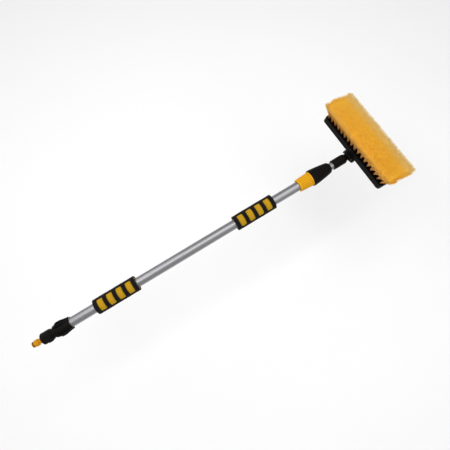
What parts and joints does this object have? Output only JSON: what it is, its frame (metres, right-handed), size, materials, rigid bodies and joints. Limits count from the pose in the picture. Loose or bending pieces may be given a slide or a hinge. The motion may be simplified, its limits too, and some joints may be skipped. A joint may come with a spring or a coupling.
{
  "type": "telescopic wash brush pole",
  "caption": "Water-fed wash brush on a telescopic pole, with a click hose nipple, shut-off collar, foam grips, twist lock and tilting brush head.",
  "frame": {"origin": "middle of the hose nipple's barrel, on the pole's axis", "axes": "+X along the pole from the hose end to the brush, +Y along the brush block, +Z the side that the bristles point to"},
  "size_m": [1.0363, 0.2756, 0.0986],
  "materials": {
    "orange_plastic": "moulded, slight gloss",
    "yellow_plastic": "moulded, slight gloss",
    "black_plastic": "moulded satin",
    "grey_plastic": "moulded satin",
    "white_plastic": "moulded satin",
    "ceramic": "lapped smooth",
    "seal_rubber": "matt",
    "steel": "plain",
    "tube_aluminium": "drawn and anodised, satin",
    "yellow_foam": "closed-cell foam",
    "black_foam": "closed-cell foam",
    "bristles": "soft flagged bristles"
  },
  "bodies": {
    "pole": {"outer_tube": "tube_aluminium", "valve_body": "black_plastic", "valve_seat": "ceramic", "collar_clip": "steel", "spigot_o_ring": "seal_rubber", "stem_o_ring": "seal_rubber", "end_sleeve": "black_plastic", "sleeve_screw": "steel", "rear_grip_core": "yellow_foam", "rear_grip_cover": "black_foam", "front_grip_core": "yellow_foam", "front_grip_cover": "black_foam", "lock_body": "yellow_plastic", "guide_bush": "grey_plastic"},
    "valve_knob": {"valve_collar": "black_plastic", "hose_nipple": "orange_plastic", "nipple_o_ring": "seal_rubber", "nipple_washer": "seal_rubber", "valve_rotor": "ceramic"},
    "collet": {"lock_collet": "white_plastic"},
    "twist_lock": {"lock_nut": "black_plastic", "wiper_ring": "seal_rubber"},
    "piston_rings": {"piston_o_rings": "seal_rubber"},
    "inner_pole": {"inner_tube": "tube_aluminium", "piston_plug": "grey_plastic", "head_socket": "black_plastic", "socket_seal": "seal_rubber", "socket_screw": "steel", "neck_eye": "black_plastic"},
    "brush_head": {"brush_block": "black_plastic", "hinge_pin": "steel", "pin_o_rings": "seal_rubber", "pin_washer": "steel", "pin_cap_nut": "black_plastic", "channel_gasket": "seal_rubber", "channel_cover": "black_plastic", "cover_screws": "steel", "jet_nozzles": "orange_plastic", "tuft_row_1": "bristles", "tuft_row_2": "bristles", "tuft_row_3": "bristles", "tuft_row_4": "bristles", "tuft_row_5": "bristles", "tuft_row_6": "bristles", "tuft_row_7": "bristles"}
  },
  "joints": [
    {"name": "valve_turn", "type": "hinge", "parent": "pole", "child": "valve_knob", "pos_m": [0, 0, 0], "axis": [1, 0, 0], "range_deg": [0, 90]},
    {"name": "collet_travel", "type": "slide", "parent": "pole", "child": "collet", "axis": [1, 0, 0], "range_m": [0, 0.0015]},
    {"name": "lock_turn", "type": "hinge", "parent": "collet", "child": "twist_lock", "pos_m": [0.80485, 0, 0], "axis": [1, 0, 0], "range_deg": [0, 180]},
    {"name": "pole_extend", "type": "slide", "parent": "pole", "child": "piston_rings", "axis": [1, 0, 0], "range_m": [0, 0.6]},
    {"name": "pole_twist", "type": "hinge", "parent": "piston_rings", "child": "inner_pole", "pos_m": [0.11895, 0, 0], "axis": [1, 0, 0], "continuous": true},
    {"name": "head_tilt", "type": "hinge", "parent": "inner_pole", "child": "brush_head", "pos_m": [0.92805, 0, 0], "axis": [0, 1, 0], "range_deg": [-30, 90]}
  ],
  "couplings": [
    {"joint": "collet_travel", "follows": "lock_turn", "m_per_rad": 0.00047746}
  ]
}
